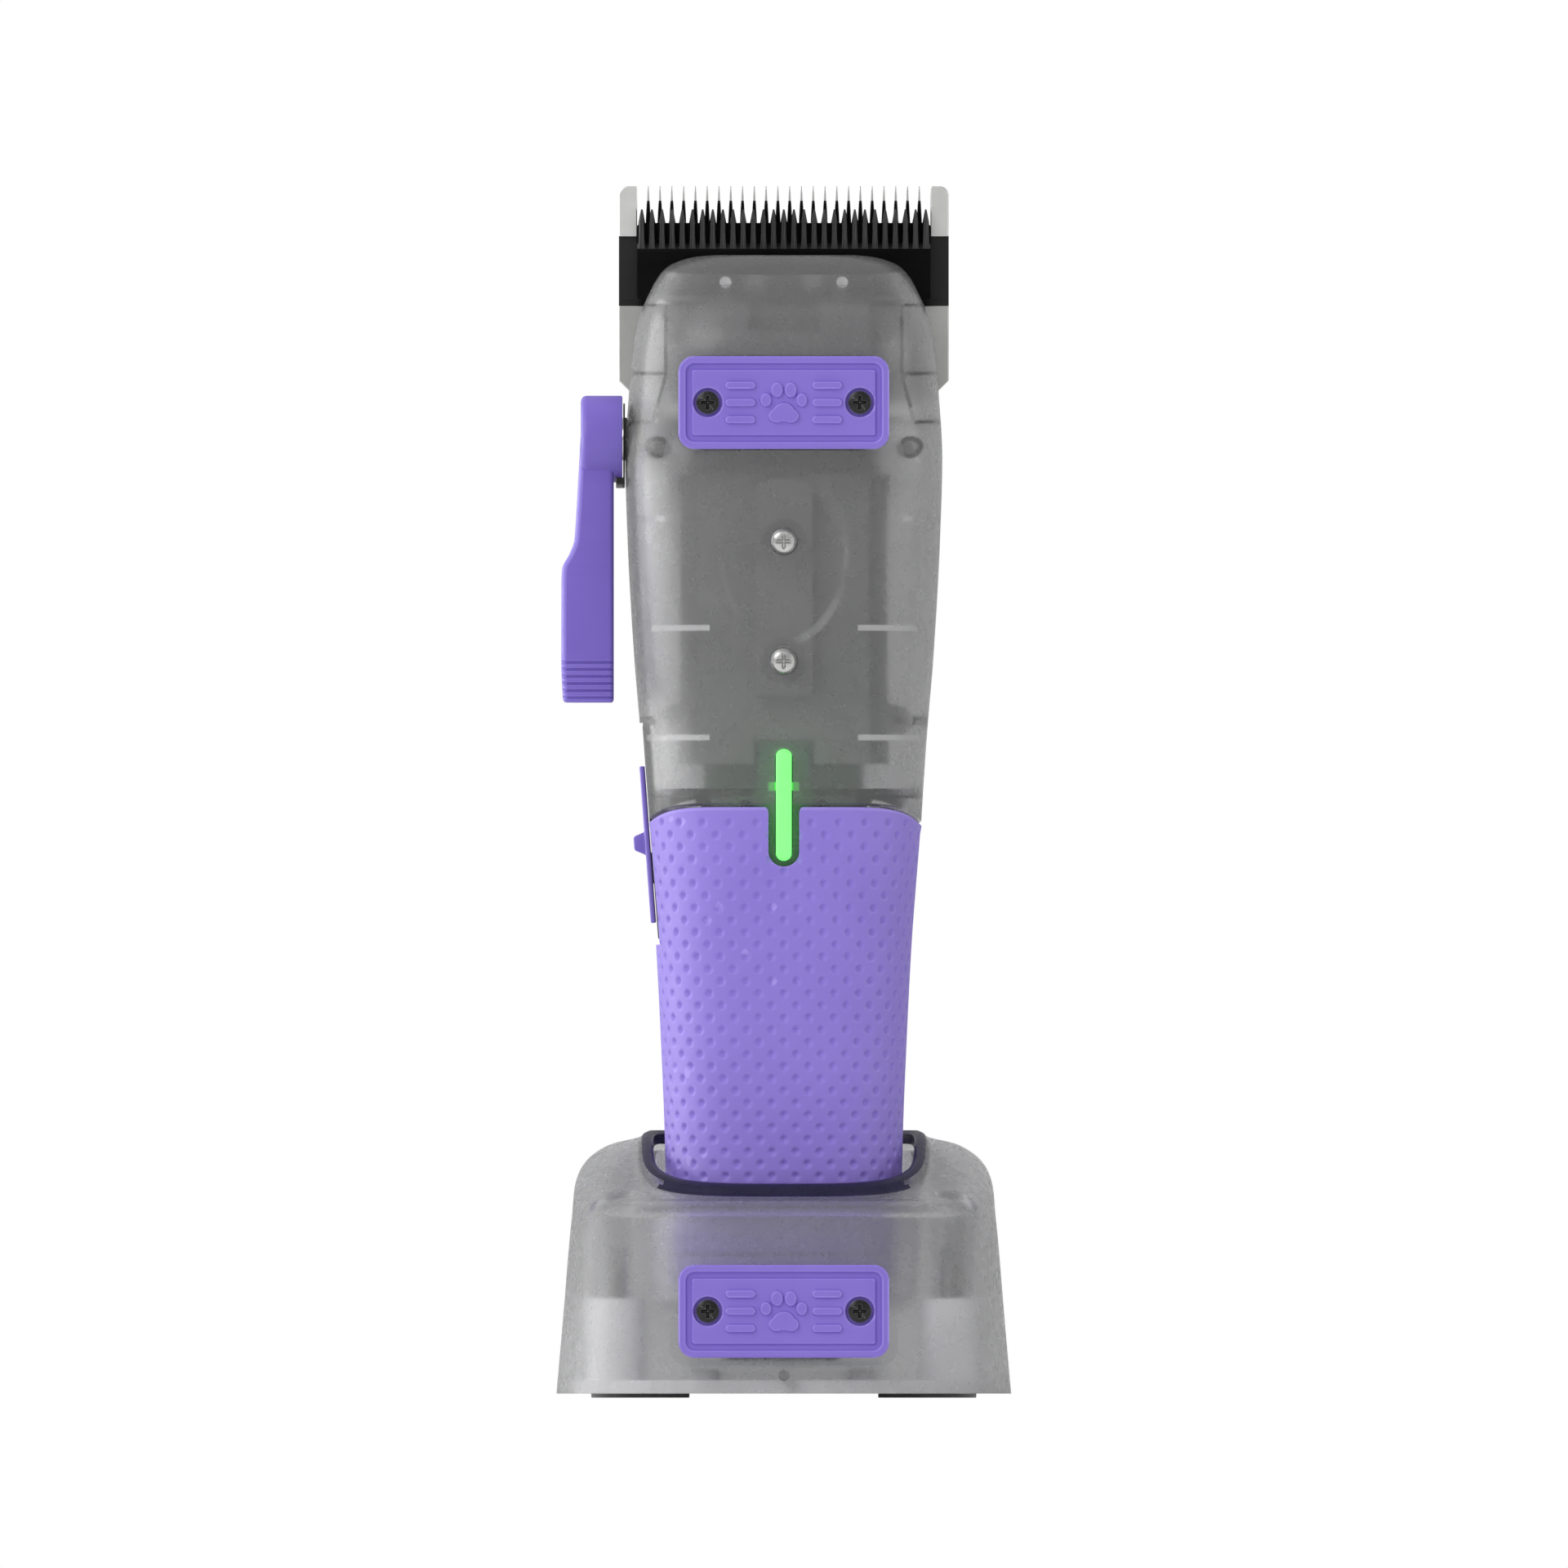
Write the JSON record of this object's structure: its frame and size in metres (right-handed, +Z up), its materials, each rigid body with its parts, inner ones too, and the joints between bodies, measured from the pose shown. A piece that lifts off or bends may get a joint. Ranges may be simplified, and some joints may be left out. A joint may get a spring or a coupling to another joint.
{
  "type": "pet hair clipper with charging stand",
  "caption": "Cordless pet hair clipper with a see-through head, dimpled purple grip, taper lever and steel blade, standing upright in a smoky charging stand.",
  "frame": {"origin": "on the table, under the middle of the stand's bounding box", "axes": "+Z up along the standing clipper, front with the badges towards -Y, taper lever and power slider on the -X side"},
  "size_m": [0.0634, 0.068, 0.1689],
  "materials": {
    "smoky_plastic": "frosted see-through smoke grey",
    "grip_purple": "soft satin, moulded with small round dimples",
    "badge_purple": "satin",
    "lever_purple": "satin",
    "inner_plastic": "matt",
    "cradle_plastic": "satin",
    "light_guide": "lit from behind",
    "blade_steel": "ground and brushed",
    "cutter_black": "black coated, satin",
    "bright_steel": "bright",
    "screw_black": "black oxide",
    "motor_steel": "zinc plated",
    "sprung_brass": "gold plated",
    "cell_wrap": "shrink wrap",
    "circuit_board": "solder mask",
    "foot_rubber": "matt"
  },
  "bodies": {
    "stand": {"stand_shell": "smoky_plastic", "stand_cradle": "cradle_plastic", "stand_base": "inner_plastic", "stand_feet": "foot_rubber", "stand_badge": "badge_purple", "stand_badge_screws": "screw_black", "base_screws": "bright_steel", "stand_board": "circuit_board", "pin_block": "inner_plastic", "pin_spring_left": "bright_steel", "pin_spring_right": "bright_steel", "stand_inlet": "motor_steel", "stand_indicator": "inner_plastic"},
    "pin_left": {"pin_left": "sprung_brass"},
    "pin_right": {"pin_right": "sprung_brass"},
    "lever": {"taper_lever": "lever_purple", "lever_crank": "bright_steel", "lever_screw": "bright_steel"},
    "blade_carriage": {"fixed_blade": "blade_steel", "blade_seat": "inner_plastic", "blade_screws": "bright_steel", "tension_spring": "bright_steel"},
    "cutter": {"cutter_blade": "cutter_black", "cutter_yoke": "inner_plastic", "yoke_screws": "bright_steel"},
    "rotor": {"motor_shaft": "bright_steel", "eccentric_cam": "inner_plastic", "cam_bearing": "sprung_brass"},
    "power_slider": {"power_slider": "lever_purple"},
    "clipper": {"front_shell": "smoky_plastic", "rear_shell": "smoky_plastic", "grip_sleeve": "grip_purple", "tail_cap": "grip_purple", "chassis": "inner_plastic", "light_pipe": "light_guide", "head_badge": "badge_purple", "head_badge_screws": "screw_black", "centre_screws": "bright_steel", "housing_screws": "bright_steel", "motor_can": "motor_steel", "motor_end_cap": "inner_plastic", "motor_screws": "bright_steel", "lever_collar": "inner_plastic", "wave_washer": "sprung_brass", "slider_bezel": "bright_steel", "switch_body": "inner_plastic", "battery_cell": "cell_wrap", "main_board": "circuit_board", "light_board": "circuit_board", "contact_plates": "sprung_brass"}
  },
  "joints": [
    {"name": "clipper_lift", "type": "slide", "parent": "stand", "child": "clipper", "axis": [0, 0, 1], "range_m": [0, 0.045]},
    {"name": "lever_swing", "type": "hinge", "parent": "clipper", "child": "lever", "pos_m": [-0.025, -0.004, 0.13365], "axis": [-1, 0, 0], "range_deg": [0, 48]},
    {"name": "blade_slide", "type": "slide", "parent": "clipper", "child": "blade_carriage", "axis": [0, 0, 1], "range_m": [-0.0023, 0]},
    {"name": "cutter_slide", "type": "slide", "parent": "clipper", "child": "cutter", "axis": [1, 0, 0], "range_m": [-0.001, 0.001]},
    {"name": "rotor_spin", "type": "hinge", "parent": "clipper", "child": "rotor", "pos_m": [0, -0.001, 0.13], "axis": [0, 0, 1], "continuous": true},
    {"name": "power_slide", "type": "slide", "parent": "clipper", "child": "power_slider", "axis": [-0.0732, 0, 0.9973], "range_m": [0, 0.0045]},
    {"name": "pin_left_press", "type": "slide", "parent": "stand", "child": "pin_left", "axis": [0, 0, 1], "range_m": [-0.0015, 0], "stiffness_N_per_m": 200, "springref_m": 0.0005, "deforming": ["pin_spring_left"]},
    {"name": "pin_right_press", "type": "slide", "parent": "stand", "child": "pin_right", "axis": [0, 0, 1], "range_m": [-0.0015, 0], "stiffness_N_per_m": 200, "springref_m": 0.0005, "deforming": ["pin_spring_right"]}
  ],
  "couplings": [
    {"joint": "lever_swing", "follows": "blade_slide", "rad_per_m": -364.2}
  ]
}
